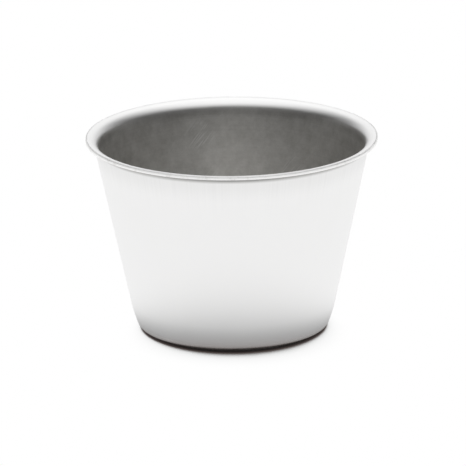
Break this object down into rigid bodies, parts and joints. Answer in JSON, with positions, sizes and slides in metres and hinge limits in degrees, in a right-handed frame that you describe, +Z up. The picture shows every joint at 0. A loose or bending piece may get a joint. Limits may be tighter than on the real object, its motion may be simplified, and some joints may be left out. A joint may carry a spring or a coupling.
{
  "type": "flan mould",
  "caption": "Deep-drawn sheet-metal cup with a tapered wall, gently curved heel, flared lip and pressed-up base panel, for baking and turning out a single flan.",
  "frame": {"origin": "on the mould's axis, in the plane of the standing ring", "axes": "+Z up along the mould's axis towards the mouth, +X to the right and -Y towards the viewer of the picture"},
  "size_m": [0.08, 0.08, 0.054],
  "materials": {
    "satin_aluminium": "satin, bare drawn sheet, with fine upright draw marks outside and a slightly duller inside"
  },
  "bodies": {
    "root": {"mould_cup": "satin_aluminium"}
  },
  "joints": []
}
